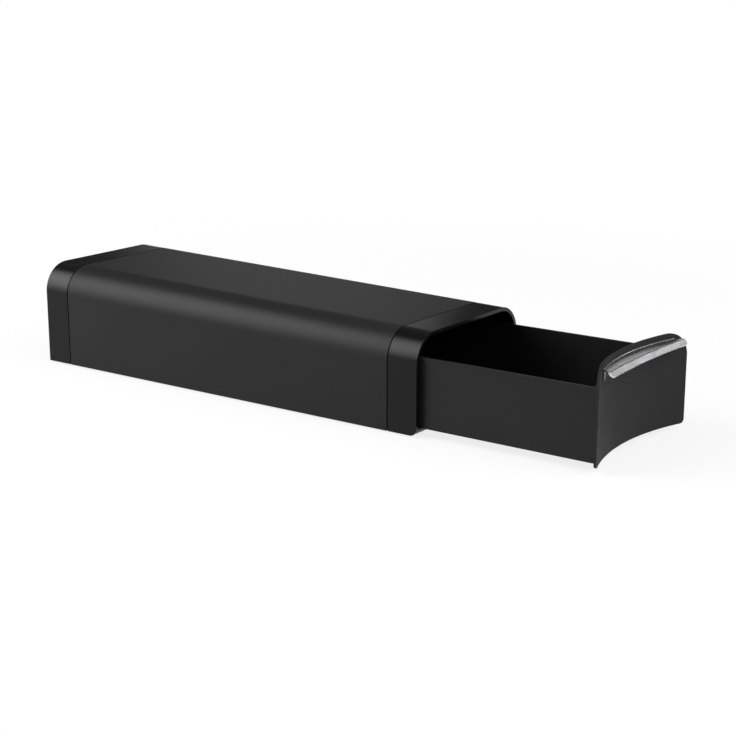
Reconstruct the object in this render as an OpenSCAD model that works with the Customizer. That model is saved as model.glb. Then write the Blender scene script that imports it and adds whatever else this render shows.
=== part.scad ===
// Slim coffee pod drawer: a wedge-topped case with one sliding drawer.
// Millimetres. X runs across, Y from the front to the back, Z up.
// The origin is on the table, midway between the handle's lip and the back
// of the case while the drawer stands partly open.

/* [Case] */
// Length of the case, front to back
case_len = 340; // [300:1:420]
// Width of the case
case_w = 125; // [112:1:180]
// Height of the case at its back, without the feet
case_h_rear = 74.5; // [68:0.5:100]
// Height of the case at its front, without the feet
case_h_front = 67; // [62:0.5:95]
// Radius of the long upper edges
case_round = 21; // [10:0.5:28]
// Sheet thickness of the sleeve
sleeve_wall = 1.2; // [0.8:0.1:1.8]
// Width of the sleeve's folded lower flanges
flange_w = 12; // [9:0.5:18]

/* [End bands] */
// Length of the front band
front_band_len = 22.6; // [16:0.2:34]
// Length of the rear band
rear_band_len = 22; // [16:0.2:34]
// Wall thickness of both bands
band_wall = 2.6; // [2.2:0.1:3.4]
// Width of the shadow groove between the sleeve and a band
band_groove = 0.9; // [0.4:0.1:2]
// Length of a band's spigot inside the sleeve
spigot_len = 8; // [5:0.5:12]
// Gap between a spigot and the sleeve around it
spigot_fit = 0.1; // [0.05:0.05:0.3]
// Radius of the front band's lower front corners
band_corner_r = 5; // [2:0.5:8]

/* [Base and back] */
// Thickness of the base plate
base_t = 1.6; // [1.2:0.1:2.4]
// Clearance around the base plate
base_fit = 0.3; // [0.2:0.1:0.6]
// Depth of the rear panel behind the band's edge
rear_recess = 1.5; // [1.3:0.1:3]
// Thickness of the rear panel
rear_panel_t = 2; // [1.6:0.1:3]
// Depth of the slot that holds the rear panel's lower edge
rear_slot = 1.2; // [0.8:0.1:1.6]
// Clearance around the rear panel
rear_fit = 0.15; // [0.1:0.05:0.4]
// Diameter of a closing bumper
bumper_d = 9; // [6:0.5:14]
// Height of a closing bumper
bumper_h = 4; // [3.2:0.1:7]
// Distance between the two bumpers
bumper_spacing = 72; // [48:1:84]
// Diameter of a rubber foot
foot_d = 12; // [8:0.5:14]
// Height of the case above the table
foot_drop = 1.2; // [0.8:0.1:4]
// Depth of a foot's pocket
foot_set = 0.8; // [0.4:0.1:1.2]
// Distance from a foot's centre to the case's side
foot_inset = 16; // [14:0.5:24]

/* [Runners and stop] */
// Thickness of a runner's foot under the drawer
runner_foot_t = 1.7; // [1.4:0.1:3]
// Width of a runner's foot under the drawer
runner_foot_w = 8; // [5:0.5:12]
// Height of a runner's guide wall above the base plate
runner_h = 14; // [12:0.5:24]
// Clearance between a runner and the tub's side
runner_gap = 0.4; // [0.3:0.05:0.8]
// Distance from a runner's end to its first screw
runner_end = 15; // [8:1:30]
// Clearance between the tub and what it slides on
tub_lift = 0.3; // [0.3:0.05:0.8]
// Distance from the case's front to the drawer stop
stop_setback = 58.5; // [50:0.5:90]
// Width of the drawer stop
stop_w = 40; // [30:1:60]
// Sheet thickness of the drawer stop
stop_t = 1.5; // [1:0.1:2.5]
// Length of the stop's welded flange
stop_flange = 12; // [8:0.5:20]
// Space between the tub's rim and the stop's lower edge
stop_over_rim = 5; // [4:0.1:6]

/* [Drawer] */
// Distance that the drawer stands open as stored
drawer_open = 116.5; // [60:0.5:130]
// Gap between the closed front panel and the case
closed_gap = 0.5; // [0.3:0.1:2]
// Gap between the closed tub and the bumpers
bumper_gap = 0.4; // [0.3:0.1:1]
// Gap between the tub and the front band, each side
tub_side_gap = 2.7; // [2.3:0.1:6]
// Space between the tub's rim and the top of the opening
head_room = 11.9; // [10.5:0.1:16]
// Wall thickness of the tub
tub_wall = 1.6; // [1.4:0.1:2.4]
// Floor thickness of the tub
tub_floor = 1.6; // [1.2:0.1:2.4]
// Radius of the tub's rear corners
tub_corner_r = 5; // [3:0.5:10]
// Height of the bead around the tub's rim
rim_h = 1.8; // [1.2:0.1:3]
// Amount that the rim bead stands out
rim_proud = 0.4; // [0.2:0.1:0.8]
// Width of the catch on the back of the tub
catch_w = 28; // [22:1:40]
// Sheet thickness of the catch
catch_t = 1.5; // [1:0.1:1.8]
// Height that the catch overlaps the stop
catch_bite = 4; // [3:0.1:5]
// Length of the catch against the tub
catch_leg = 16; // [14:0.5:24]

/* [Pod tray] */
// Diameter of a pod's lid
pod_d = 51; // [48:0.5:54]
// Gap between one pod's lid and the next
pod_gap = 0.5; // [0.3:0.1:3]
// Height of the tray's deck above the tub's floor
tray_h = 3.9; // [2.6:0.1:8]
// Thickness of the tray's deck and skirt
tray_wall = 1.2; // [1:0.1:1.6]
// Clearance around the tray
tray_fit = 0.4; // [0.2:0.1:1]
// Inner diameter of a seat ring
ring_d = 39; // [34:0.5:44]
// Width of a seat ring
ring_w = 1.4; // [1:0.1:2.5]
// Height of a seat ring
ring_h = 2; // [1:0.1:4]

/* [Front panel] */
// Thickness of the front panel
panel_t = 1.8; // [1.6:0.1:4]
// Depth of the front panel's inward curve
panel_sag = 11.5; // [6:0.5:18]
// Distance that the panel stays inside the case's side
panel_side_inset = 1.6; // [0.5:0.1:4]
// Distance that the panel stays below the case's front top edge
panel_top_inset = 1.4; // [0:0.1:3]
// Height of the panel's lower edge above the case's
panel_lift = 2.6; // [2:0.1:4]
// Radius of the panel's upper corners
panel_top_r = 16.5; // [6:0.5:22]
// Radius of the panel's lower corners
panel_low_r = 3; // [1:0.5:8]
// Distance between the panel screws across the curve
panel_screw_spacing = 80; // [50:1:88]
// Height of a row of panel screws from the tub's edge
panel_screw_edge = 11; // [9:0.5:14]

/* [Handle] */
// Distance from the handle's end to the panel's side
handle_inset = 8.6; // [4:0.1:16]
// Depth of the handle below the panel's top edge
handle_drop = 3.6; // [3:0.1:6]
// Sheet thickness of the handle
handle_t = 1.3; // [1.2:0.1:2]
// Height of the handle's mounting flange
flange_h = 7; // [6.4:0.1:8.2]
// Thickness of the handle's mounting flange
flange_t = 1.8; // [1.6:0.1:3]
// Distance that the flange stops short of the lip's end
flange_inset = 4.8; // [2:0.1:8]
// Depth of the handle's web at its middle
web_depth = 10.9; // [8:0.1:20]
// Depth of the lip's inward curve
lip_sag = 2.2; // [0.5:0.1:5]
// Height of the handle's lip
lip_drop = 3.3; // [2.5:0.1:8]
// Distance that the lip leans forward
lip_lean = 3.6; // [0.5:0.1:6]
// Radius of the lip's lower corners
lip_corner_r = 3; // [1.5:0.1:3.5]
// Distance from a handle screw to the next
handle_screw_spacing = 36; // [24:1:44]

/* [Screws] */
// Radius of a base screw's shank
base_screw_r = 1.1; // [0.9:0.05:1.2]
// Length of a rear screw's boss
rear_boss_len = 11; // [10:0.5:14]
// Width of a rear screw's boss
rear_boss_w = 8; // [6.5:0.5:10]
// Depth of a rear boss's bore
rear_bore_len = 9; // [7.5:0.5:9.5]
// Length that a rear screw reaches into its boss
rear_grip = 7; // [4:0.5:7]
// Length of a base screw
base_screw_len = 9; // [7:0.5:10]
// Number of base screws on each side
base_screw_count = 3; // [2:1:5]
// Radius of the panel, back and handle screws' shanks
screw_r = 1.5; // [1.2:0.05:1.6]
// Radius of a pan head
head_r = 2.7; // [2.4:0.1:3]
// Height of a pan head
head_h = 1.2; // [1:0.1:1.3]
// Clearance of a shank in its thread hole
thread_fit = 0.05; // [0.02:0.01:0.1]
// Clearance of a shank in a plain hole
hole_fit = 0.2; // [0.15:0.05:0.3]

/* [Hidden] */
$fn = 96;
arc_fn = 360;
eps = 0.01;

// Places along the object, from the stored bounding box inwards
case_hw = case_w / 2;
panel_hw = case_hw - panel_side_inset;
handle_hw = panel_hw - handle_inset;
lip_a = atan(lip_lean / lip_drop);
lip_r = (pow(handle_hw, 2) + pow(lip_sag, 2)) / (2 * lip_sag);
lip_end_x = handle_hw - lip_corner_r
    + sqrt(pow(lip_corner_r, 2) - pow(lip_corner_r - handle_t * sin(lip_a), 2));
handle_depth = web_depth + lip_r - sqrt(pow(lip_r - lip_lean, 2) - pow(lip_end_x, 2));
back_y = (case_len + closed_gap + drawer_open + panel_t + handle_depth) / 2;
front_y = back_y - case_len;
sleeve_y0 = front_y + front_band_len + band_groove;
sleeve_y1 = back_y - rear_band_len - band_groove;
front_spigot_y = sleeve_y0 + spigot_len;
rear_spigot_y = sleeve_y1 - spigot_len;

// Heights and half widths of the case
low_z = foot_drop;
slope = atan((case_h_rear - case_h_front) / case_len);
flange_top = low_z + sleeve_wall;
base_top = flange_top + base_t;
sill_top = base_top + runner_foot_t;
spigot_z = base_top + base_fit;
open_hw = case_hw - band_wall;
open_top = low_z + case_h_front - band_wall;

// Rear panel and bumpers
rear_face_y = back_y - rear_recess;
rear_inner_y = rear_face_y - rear_panel_t;
bumper_y = rear_inner_y - bumper_h;
rear_screw_x = open_hw - case_round + band_wall;
rear_screw_z = low_z + case_h_rear - band_wall - head_r - 2;
bumper_z = low_z + case_h_front * 0.45;

// Tub
tub_hw = open_hw - tub_side_gap;
tub_z0 = sill_top + tub_lift;
rim_z = open_top - head_room;
tub_back_y = bumper_y - bumper_gap - drawer_open;
floor_top = tub_z0 + tub_floor;

// Front panel: an arc whose centre lies in front of it
panel_z0 = low_z + panel_lift;
panel_z1 = low_z + case_h_front - panel_top_inset;
panel_r = (panel_hw * panel_hw + panel_sag * panel_sag) / (2 * panel_sag);
panel_back_r = panel_r + panel_t;
panel_mid_y = front_y - closed_gap - drawer_open - panel_t;
panel_edge_y = panel_mid_y - panel_sag;
arc_y = panel_mid_y - panel_r;
panel_screw_a = asin(panel_screw_spacing / 2 / panel_back_r);
panel_screw_z = [tub_z0 + panel_screw_edge, rim_z - panel_screw_edge];
boss_r = screw_r + 1.7;
boss_fit = 0.2;
boss_len = tub_wall - boss_fit;
boss_bore = panel_t - 1 + boss_len;
washer_r = boss_r + 1.2;

// Handle
handle_z = panel_z1 - handle_drop;
flange_hw = handle_hw - flange_inset;
lip_arc_y = panel_mid_y - web_depth - lip_r;
lip_low = handle_z - lip_drop - handle_t * sin(lip_a);
handle_screw_a = asin(handle_screw_spacing / panel_r);
handle_screw_z = handle_z - flange_h / 2 - 0.3;

// Drawer stop and catch
stop_y = front_y + stop_setback;
stop_z = rim_z + stop_over_rim;
catch_top = stop_z + catch_bite;
catch_low = rim_z - catch_leg;
catch_rivet_x = catch_w / 2 - 6;
catch_rivet_z = catch_low + catch_leg / 2;
rivet_r = 1.5;
rivet_head_r = 2.8;
rivet_head_h = 0.9;

// Runners and base screws
runner_x0 = tub_hw + runner_gap;
runner_x1 = case_hw - sleeve_wall - base_fit;
runner_y0 = front_spigot_y + base_fit;
runner_y1 = rear_spigot_y - base_fit;
base_screw_x = (runner_x0 + runner_x1) / 2;
base_screw_step = (runner_y1 - runner_y0 - 2 * runner_end) / (base_screw_count - 1);
base_screw_y = [for (i = [0 : base_screw_count - 1]) runner_y0 + runner_end + i * base_screw_step];
csk_r = base_screw_r + sleeve_wall;

// Pod tray
tray_hw = tub_hw - tub_wall - tray_fit;
tray_y1 = tub_back_y - tub_wall - tray_fit;
tray_r = panel_back_r + tub_wall + tray_fit;
deck_z = floor_top + tray_h;
pod_x = tray_hw / 2;
pod_pitch = pod_d + pod_gap;
pod_y0 = arc_y + sqrt(pow(tray_r, 2) - pow(pod_x, 2)) + pod_d / 2;
pod_rows = floor((tray_y1 - pod_y0 - pod_d / 2) / pod_pitch) + 1;
pod_y = [for (i = [0 : pod_rows - 1]) pod_y0 + i * pod_pitch];

// ---- Shared shapes ----

// Section of the case, its top at 0, shrunk by inset all round
module arch(inset) {
    hw = case_hw - inset;
    r = case_round - inset;
    low = -2 * case_h_rear;
    union() {
        translate([-hw, low])
            square([2 * hw, -low - inset - r]);
        translate([-hw + r, low])
            square([2 * (hw - r), -low - inset]);
        for (s = [-1, 1])
            translate([s * (hw - r), -inset - r])
                circle(r);
    }
}

// Length of the case between two planes, its top sloping to the front
module tunnel(inset, y0, y1, z0) {
    intersection() {
        translate([0, back_y, low_z + case_h_rear])
            rotate([90 + slope, 0, 0])
                translate([0, 0, -case_w])
                    linear_extrude(case_len + 2 * case_w)
                        arch(inset);
        translate([-case_w, y0, z0])
            cube([2 * case_w, y1 - y0, 2 * case_h_rear]);
    }
}

// Upright disc sector between two radii about the panel's arc centre
module arc_band(r0, r1, z0, z1) {
    translate([0, arc_y, z0])
        difference() {
            cylinder(h = z1 - z0, r = r1, $fn = arc_fn);
            translate([0, 0, -1])
                cylinder(h = z1 - z0 + 2, r = r0, $fn = arc_fn);
        }
}

// Puts a part on the arc at angle a and radius r, its +Z pointing backwards
module on_arc(a, r, z) {
    translate([0, arc_y, z])
        rotate([0, 0, -a])
            translate([0, r, 0])
                rotate([-90, 0, 0])
                    children();
}

// Plate outline with its own radii at the lower and the upper corners
module plate_outline(hw, z0, z1, r_low, r_top) {
    translate([-hw, z0 + r_low])
        square([2 * hw, z1 - z0 - r_low - r_top]);
    translate([-hw + r_low, z0])
        square([2 * (hw - r_low), z1 - z0 - r_top]);
    translate([-hw + r_top, z0 + r_low])
        square([2 * (hw - r_top), z1 - z0 - r_low]);
    for (s = [-1, 1]) {
        translate([s * (hw - r_low), z0 + r_low])
            circle(r_low);
        translate([s * (hw - r_top), z1 - r_top])
            circle(r_top);
    }
}

// Tub plan: rounded behind, cut by the panel's arc in front
module tub_plan(inset) {
    hw = tub_hw - inset;
    r = tub_corner_r - inset;
    y1 = tub_back_y - inset;
    difference() {
        union() {
            translate([-hw, panel_edge_y - 1])
                square([2 * hw, y1 - r - panel_edge_y + 1]);
            translate([-hw + r, panel_edge_y - 1])
                square([2 * (hw - r), y1 - panel_edge_y + 1]);
            for (s = [-1, 1])
                translate([s * (hw - r), y1 - r])
                    circle(r);
        }
        translate([0, arc_y])
            circle(panel_back_r + inset, $fn = arc_fn);
    }
}

// Pan-head screw standing on z = 0, its shank below
module pan_screw(len, shank_r, head_radius) {
    cylinder(h = head_h, r = head_radius);
    translate([0, 0, -len])
        cylinder(h = len + eps, r = shank_r);
}

module foot_places(y) {
    for (s = [-1, 1])
        translate([s * (case_hw - foot_inset), y, 0])
            children();
}

// ---- Case ----

module sleeve() {
    color([0.19, 0.19, 0.19])
        difference() {
            tunnel(0, sleeve_y0, sleeve_y1, low_z);
            tunnel(sleeve_wall, sleeve_y0 - 1, sleeve_y1 + 1, flange_top);
            translate([-case_hw + flange_w, sleeve_y0 - 1, low_z - 1])
                cube([case_w - 2 * flange_w, sleeve_y1 - sleeve_y0 + 2, sleeve_wall + 2]);
            base_screw_holes();
        }
}

// Plain holes with countersinks for the base screws
module base_screw_holes() {
    for (s = [-1, 1], y = base_screw_y)
        translate([s * base_screw_x, y, low_z]) {
            translate([0, 0, -1])
                cylinder(h = sleeve_wall + base_t + 2, r = base_screw_r + hole_fit);
            translate([0, 0, -eps])
                cylinder(h = sleeve_wall, r1 = csk_r + hole_fit, r2 = base_screw_r + hole_fit);
        }
}

module front_band() {
    color([0.16, 0.16, 0.16])
        difference() {
            union() {
                tunnel(0, front_y, front_y + front_band_len, low_z);
                tunnel(sleeve_wall + spigot_fit, front_y + 2, front_spigot_y, spigot_z);
            }
            tunnel(band_wall, front_y - 1, front_spigot_y + 1, sill_top);
            tunnel(band_wall, front_y + front_band_len, front_spigot_y + 1, low_z);
            front_band_corner();
            foot_places(front_y + front_band_len / 2)
                translate([0, 0, low_z - 1])
                    cylinder(h = 1 + foot_set, r = foot_d / 2);
        }
}

// Rounds the lower front edge of the front band
module front_band_corner() {
    difference() {
        translate([-case_w, front_y - band_corner_r, low_z - band_corner_r])
            cube([2 * case_w, 2 * band_corner_r, 2 * band_corner_r]);
        translate([-case_w - 1, front_y + band_corner_r, low_z + band_corner_r])
            rotate([0, 90, 0])
                cylinder(h = 2 * case_w + 2, r = band_corner_r);
        translate([-case_w - 1, front_y + band_corner_r, low_z - band_corner_r - 1])
            cube([2 * case_w + 2, band_corner_r + 1, 3 * band_corner_r]);
        translate([-case_w - 1, front_y - band_corner_r - 1, low_z + band_corner_r])
            cube([2 * case_w + 2, 3 * band_corner_r, band_corner_r + 1]);
    }
}

module rear_band() {
    boss_y0 = rear_inner_y - rear_boss_len;
    color([0.16, 0.16, 0.16])
        difference() {
            union() {
                difference() {
                    union() {
                        tunnel(0, back_y - rear_band_len, back_y, low_z);
                        tunnel(sleeve_wall + spigot_fit, rear_spigot_y, back_y - 2, spigot_z);
                    }
                    tunnel(band_wall, rear_spigot_y - 1, back_y + 1, base_top);
                    tunnel(band_wall, rear_spigot_y - 1, back_y - rear_band_len, low_z);
                }
                intersection() {
                    tunnel(band_wall / 2, boss_y0, rear_inner_y, base_top);
                    for (s = [-1, 1])
                        translate([s * rear_screw_x - rear_boss_w / 2, boss_y0, rear_screw_z - rear_boss_w / 2])
                            cube([rear_boss_w, rear_boss_len, case_h_rear]);
                }
            }
            rear_screw_places(rear_inner_y)
                translate([0, 0, -rear_bore_len])
                    cylinder(h = rear_bore_len + 1, r = screw_r + thread_fit);
            translate([-open_hw + rear_fit, rear_inner_y - rear_fit, base_top - rear_slot])
                cube([2 * (open_hw - rear_fit), rear_panel_t + 2 * rear_fit, rear_slot + 1]);
            foot_places(back_y - rear_band_len / 2)
                translate([0, 0, low_z - 1])
                    cylinder(h = 1 + foot_set, r = foot_d / 2);
        }
}

// Stands children on the rear panel's screw lines, their +Z pointing backwards
module rear_screw_places(y) {
    for (s = [-1, 1])
        translate([s * rear_screw_x, y, rear_screw_z])
            rotate([-90, 0, 0])
                children();
}

module rear_panel() {
    inset = band_wall + rear_fit;
    color([0.14, 0.14, 0.14])
        difference() {
            tunnel(inset, rear_inner_y, rear_face_y, base_top - rear_slot + rear_fit);
            rear_side_trim();
            rear_screw_places(rear_inner_y)
                translate([0, 0, -1])
                    cylinder(h = rear_panel_t + 2, r = screw_r + hole_fit);
            bumper_places()
                translate([0, 0, -1])
                    cylinder(h = rear_panel_t + 2, r = bumper_d / 4);
        }
}

// Keeps the rear panel's tongue inside its slot's ends
module rear_side_trim() {
    for (s = [-1, 1])
        translate([s * (open_hw - rear_fit) - 1 + s * (rear_fit + 1), rear_inner_y - 1, low_z])
            cube([2, rear_panel_t + 2, base_top - low_z]);
}

module bumper_places() {
    for (s = [-1, 1])
        translate([s * bumper_spacing / 2, rear_inner_y, bumper_z])
            rotate([-90, 0, 0])
                children();
}

module rear_screws() {
    color([0.35, 0.35, 0.36])
        rear_screw_places(rear_face_y)
            pan_screw(rear_panel_t + rear_grip, screw_r, head_r);
}

// Rubber bumpers: a domed head and a stem through the panel
module bumpers() {
    color([0.08, 0.08, 0.08])
        bumper_places() {
            translate([0, 0, -bumper_h + 1])
                cylinder(h = bumper_h - 1, r = bumper_d / 2);
            translate([0, 0, -bumper_h])
                cylinder(h = 1 + eps, r1 = bumper_d / 2 - 1, r2 = bumper_d / 2);
            translate([0, 0, -eps])
                cylinder(h = rear_panel_t + 2 * eps, r = bumper_d / 4 - thread_fit);
        }
}

module base_plate() {
    y0 = front_y + front_band_len + base_fit;
    y1 = back_y - rear_band_len - base_fit;
    color([0.12, 0.12, 0.12])
        difference() {
            translate([-runner_x1, y0, flange_top])
                cube([2 * runner_x1, y1 - y0, base_t]);
            base_screw_holes();
        }
}

module base_screws() {
    color([0.35, 0.35, 0.36])
        for (s = [-1, 1], y = base_screw_y)
            translate([s * base_screw_x, y, low_z]) {
                cylinder(h = base_screw_len, r = base_screw_r);
                cylinder(h = sleeve_wall, r1 = csk_r, r2 = base_screw_r);
            }
}

// Runner on the +X side: a foot under the tub and a guide wall beside it
module runner() {
    len = runner_y1 - runner_y0;
    bore_h = base_screw_len - sleeve_wall - base_t + 1;
    difference() {
        union() {
            translate([runner_x0 - runner_gap - runner_foot_w, runner_y0, base_top])
                cube([runner_x1 - runner_x0 + runner_gap + runner_foot_w, len, runner_foot_t]);
            translate([runner_x0, runner_y0, base_top])
                cube([runner_x1 - runner_x0, len, runner_h]);
        }
        for (y = base_screw_y)
            translate([base_screw_x, y, base_top - 1])
                cylinder(h = bore_h + 1, r = base_screw_r + thread_fit);
    }
}

module left_runner() {
    color([0.3, 0.3, 0.31])
        mirror([1, 0, 0])
            runner();
}

module right_runner() {
    color([0.3, 0.3, 0.31])
        runner();
}

// Folded bracket welded under the sleeve's top
module drawer_stop() {
    color([0.25, 0.25, 0.26])
        intersection() {
            tunnel(sleeve_wall, stop_y, stop_y + stop_flange, stop_z);
            union() {
                translate([-stop_w / 2, stop_y, stop_z])
                    cube([stop_w, stop_t, case_h_rear]);
                difference() {
                    translate([-stop_w / 2, stop_y, stop_z])
                        cube([stop_w, stop_flange, case_h_rear]);
                    tunnel(sleeve_wall + stop_t, stop_y - 1, stop_y + stop_flange + 1, low_z);
                }
            }
        }
}

module feet() {
    color([0.08, 0.08, 0.08])
        for (y = [front_y + front_band_len / 2, back_y - rear_band_len / 2])
            foot_places(y)
                cylinder(h = foot_drop + foot_set, r = foot_d / 2 - thread_fit);
}

// ---- Drawer ----

module drawer_tub() {
    color([0.17, 0.17, 0.17])
        difference() {
            union() {
                translate([0, 0, tub_z0])
                    linear_extrude(rim_z - tub_z0)
                        tub_plan(0);
                rim_bead();
            }
            translate([0, 0, floor_top])
                linear_extrude(rim_z)
                    tub_plan(tub_wall);
            for (s = [-1, 1], z = panel_screw_z)
                on_arc(s * panel_screw_a, panel_back_r, z)
                    translate([0, 0, -1])
                        cylinder(h = tub_wall + 2, r = boss_r + boss_fit);
            catch_rivet_places()
                translate([0, 0, -tub_wall - 1])
                    cylinder(h = tub_wall + 2, r = rivet_r + thread_fit);
        }
}

// Bead along the rim's sides, ending at the panel and the rear corners
module rim_bead() {
    y0 = arc_y + sqrt(pow(panel_back_r, 2) - pow(tub_hw + rim_proud, 2));
    for (s = [-1, 1])
        translate([s * tub_hw - (s < 0 ? rim_proud : 1), y0 + 0.5, rim_z - rim_h])
            cube([1 + rim_proud, tub_back_y - tub_corner_r - y0 - 0.5, rim_h]);
}

module front_panel() {
    color([0.2, 0.2, 0.2])
        difference() {
            union() {
                intersection() {
                    arc_band(panel_r, panel_back_r, panel_z0, panel_z1);
                    translate([0, panel_mid_y + panel_t + 1, 0])
                        rotate([90, 0, 0])
                            linear_extrude(panel_sag + panel_t + 2)
                                plate_outline(panel_hw, panel_z0, panel_z1, panel_low_r, panel_top_r);
                }
                for (s = [-1, 1], z = panel_screw_z)
                    on_arc(s * panel_screw_a, panel_back_r, z)
                        translate([0, 0, -1])
                            cylinder(h = boss_len + 1, r = boss_r);
            }
            for (s = [-1, 1], z = panel_screw_z)
                on_arc(s * panel_screw_a, panel_back_r + boss_len, z)
                    translate([0, 0, -boss_bore])
                        cylinder(h = boss_bore + 1, r = screw_r + thread_fit);
            for (s = [-1 : 1])
                on_arc(s * handle_screw_a, panel_r, handle_screw_z)
                    translate([0, 0, -1])
                        cylinder(h = panel_t + 2, r = screw_r + hole_fit);
        }
}

// Washer-head screws from inside the tub into the panel's bosses
module panel_screws() {
    color([0.35, 0.35, 0.36])
        for (s = [-1, 1], z = panel_screw_z)
            on_arc(s * panel_screw_a, panel_back_r + tub_wall, z)
                pan_screw(boss_bore, screw_r, washer_r);
}

// Pull bent from one strip: flange on the panel, web, and leaning lip
module handle() {
    color([0.72, 0.72, 0.73])
        difference() {
            union() {
                intersection() {
                    arc_band(panel_r - flange_t, panel_r, handle_z - flange_h, handle_z);
                    translate([-flange_hw, panel_edge_y - flange_t, handle_z - flange_h])
                        cube([2 * flange_hw, panel_sag + flange_t + 1, flange_h]);
                }
                translate([0, 0, handle_z - handle_t])
                    linear_extrude(handle_t)
                        handle_web();
                intersection() {
                    translate([0, lip_arc_y, 0])
                        rotate_extrude($fn = arc_fn)
                            handle_lip();
                    translate([0, panel_mid_y, 0])
                        rotate([90, 0, 0])
                            linear_extrude(handle_depth + 1)
                                plate_outline(handle_hw, lip_low, panel_z1 + lip_corner_r, lip_corner_r, 1);
                }
            }
            for (s = [-1 : 1])
                on_arc(s * handle_screw_a, panel_r, handle_screw_z)
                    translate([0, 0, -flange_t + 0.5])
                        cylinder(h = flange_t + 1, r = screw_r + thread_fit);
        }
}

// Plan of the web: the panel's arc behind, the lip's arc in front, slanted ends
module handle_web() {
    lip_end_y = lip_arc_y + sqrt(pow(lip_r, 2) - pow(handle_hw, 2));
    flange_end_y = arc_y + sqrt(pow(panel_r - flange_t, 2) - pow(flange_hw, 2)) - handle_t / 2;
    intersection() {
        polygon([
            [-handle_hw, lip_end_y - 1],
            [handle_hw, lip_end_y - 1],
            [handle_hw, lip_end_y],
            [flange_hw, flange_end_y],
            [flange_hw, panel_mid_y + 1],
            [-flange_hw, panel_mid_y + 1],
            [-flange_hw, flange_end_y],
            [-handle_hw, lip_end_y]
        ]);
        difference() {
            translate([0, arc_y])
                circle(panel_r, $fn = arc_fn);
            translate([0, lip_arc_y])
                circle(lip_r, $fn = arc_fn);
        }
    }
}

// Section of the lip: distance from its arc's centre to the right, Z up
module handle_lip() {
    run = handle_t * (1 - sin(lip_a)) / cos(lip_a);
    inner = [lip_r + handle_t * cos(lip_a) - run * sin(lip_a), handle_z - handle_t];
    tip = [lip_r - lip_lean, handle_z - lip_drop];
    polygon([
        [lip_r, handle_z],
        tip,
        tip + handle_t * [cos(lip_a), -sin(lip_a)],
        inner,
        inner + [0, handle_t]
    ]);
}

module handle_screws() {
    color([0.35, 0.35, 0.36])
        for (s = [-1 : 1])
            on_arc(s * handle_screw_a, panel_back_r, handle_screw_z)
                pan_screw(panel_t + flange_t - 0.7, screw_r, head_r);
}

// Stands children on the catch's rivet lines, their +Z pointing backwards
module catch_rivet_places() {
    for (s = [-1, 1])
        translate([s * catch_rivet_x, tub_back_y, catch_rivet_z])
            rotate([-90, 0, 0])
                children();
}

module stop_catch() {
    color([0.3, 0.3, 0.31])
        difference() {
            translate([-catch_w / 2, tub_back_y, catch_low])
                cube([catch_w, catch_t, catch_top - catch_low]);
            catch_rivet_places()
                translate([0, 0, -1])
                    cylinder(h = catch_t + 2, r = rivet_r + thread_fit);
        }
}

module catch_rivets() {
    color([0.5, 0.5, 0.5])
        catch_rivet_places() {
            translate([0, 0, catch_t])
                cylinder(h = rivet_head_h, r = rivet_head_r);
            translate([0, 0, -tub_wall - eps])
                cylinder(h = tub_wall + catch_t + 2 * eps, r = rivet_r);
            translate([0, 0, -tub_wall - rivet_head_h])
                cylinder(h = rivet_head_h, r = rivet_head_r);
        }
}

// Tray under the pods: a deck on a skirt, with a cell below each pod
module pod_tray() {
    cell = pod_x - tray_wall;
    color([0.13, 0.13, 0.13])
        difference() {
            translate([0, 0, floor_top])
                linear_extrude(tray_h)
                    tray_plan();
            for (s = [-1, 1], y = pod_y)
                translate([s * pod_x, y, floor_top - 1])
                    cylinder(h = tray_h - tray_wall + 1, r = min(cell, pod_d / 2) - tray_wall);
        }
}

module tray_plan() {
    r = tub_corner_r - tub_wall;
    difference() {
        union() {
            translate([-tray_hw, panel_edge_y])
                square([2 * tray_hw, tray_y1 - r - panel_edge_y]);
            translate([-tray_hw + r, panel_edge_y])
                square([2 * (tray_hw - r), tray_y1 - panel_edge_y]);
            for (s = [-1, 1])
                translate([s * (tray_hw - r), tray_y1 - r])
                    circle(r);
        }
        translate([0, arc_y])
            circle(tray_r, $fn = arc_fn);
    }
}

// Soft rings that keep the pods from sliding
module seat_rings() {
    color([0.24, 0.24, 0.24])
        for (s = [-1, 1], y = pod_y)
            translate([s * pod_x, y, deck_z])
                difference() {
                    cylinder(h = ring_h, r = ring_d / 2 + ring_w);
                    translate([0, 0, -1])
                        cylinder(h = ring_h + 2, r = ring_d / 2);
                }
}

sleeve();
front_band();
rear_band();
rear_panel();
rear_screws();
base_plate();
base_screws();
left_runner();
right_runner();
drawer_stop();
bumpers();
feet();
drawer_tub();
front_panel();
panel_screws();
handle();
handle_screws();
stop_catch();
catch_rivets();
pod_tray();
seat_rings();
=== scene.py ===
"""Slim coffee pod drawer: a black case with a concave-fronted drawer, standing partly open."""

import math

import bmesh
import bpy
from mathutils import Matrix, Vector


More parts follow.
